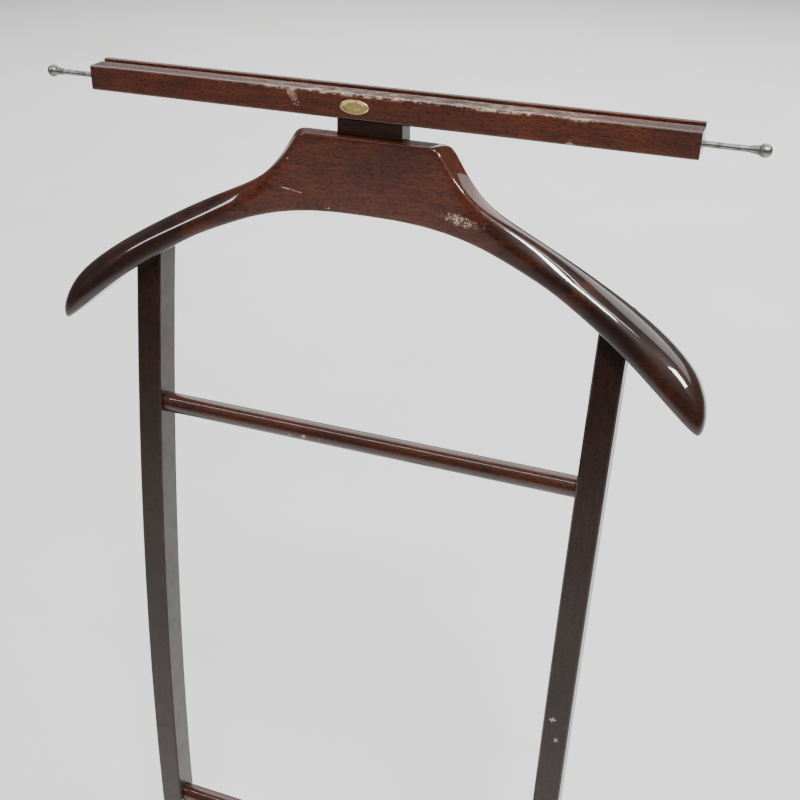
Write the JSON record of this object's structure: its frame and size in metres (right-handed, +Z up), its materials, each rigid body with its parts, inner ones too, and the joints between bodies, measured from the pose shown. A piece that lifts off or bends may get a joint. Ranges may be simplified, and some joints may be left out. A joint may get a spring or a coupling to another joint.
{
  "type": "valet stand",
  "caption": "Free-standing wooden valet: jacket hanger, sprung trouser bar with pull-out tie rods, bowed uprights, rails and a shoe rack",
  "frame": {"origin": "on the floor, under the middle of the object's box", "axes": "+X along the bar to the stand's right as its user faces it, -Y is the front the hanger faces, +Z up"},
  "size_m": [0.471, 0.329, 1.0794],
  "materials": {
    "wood_hanger": "dark red-brown glossy lacquer, lightly chipped",
    "wood_bar": "dark red-brown glossy lacquer, worn on the front arrises",
    "wood_upright": "near-black brown glossy lacquer",
    "wood_rail": "dark red-brown glossy lacquer",
    "wood_plain": "bare beech",
    "felt": "thin pressed felt",
    "nickel": "dulled nickel plate",
    "steel_pin": "plain steel",
    "brass_screw": "dulled brass",
    "glide": "hard dark plastic"
  },
  "bodies": {
    "stand": {"hanger": "wood_hanger", "neck_block": "wood_bar", "neck_screws": "brass_screw", "neck_dowels": "wood_plain", "shoulder_screws": "brass_screw", "clamp_front_strip": "wood_bar", "clamp_pin_left": "steel_pin", "clamp_pin_right": "steel_pin", "clamp_knob_left": "nickel", "clamp_knob_right": "nickel", "clamp_spring_left": "steel_pin", "clamp_spring_right": "steel_pin", "tie_rod_ferrule_left": "nickel", "tie_rod_ferrule_right": "nickel", "upright_left": "wood_upright", "upright_right": "wood_upright", "upper_rail": "wood_rail", "lower_rail": "wood_rail", "rail_brads": "steel_pin", "foot_left": "wood_upright", "foot_right": "wood_upright", "shoe_rail_1": "wood_rail", "shoe_rail_2": "wood_rail", "shoe_rail_3": "wood_rail", "shoe_rail_4": "wood_rail", "foot_glides": "glide"},
    "clamp": {"clamp_rear_strip": "wood_bar", "clamp_felt": "felt"},
    "rod_left": {"tie_rod_left": "nickel", "tie_rod_ball_left": "nickel", "tie_rod_collar_left": "brass_screw"},
    "rod_right": {"tie_rod_right": "nickel", "tie_rod_ball_right": "nickel", "tie_rod_collar_right": "brass_screw"}
  },
  "joints": [
    {"name": "clamp_open", "type": "slide", "parent": "stand", "child": "clamp", "axis": [0, 1, 0], "range_m": [0, 0.008], "stiffness_N_per_m": 900, "springref_m": -0.004, "deforming": ["clamp_spring_left", "clamp_spring_right"]},
    {"name": "rod_left_slide", "type": "slide", "parent": "stand", "child": "rod_left", "axis": [-1, 0, 0], "range_m": [-0.025, 0.0395]},
    {"name": "rod_right_slide", "type": "slide", "parent": "stand", "child": "rod_right", "axis": [1, 0, 0], "range_m": [-0.025, 0.0395]}
  ]
}
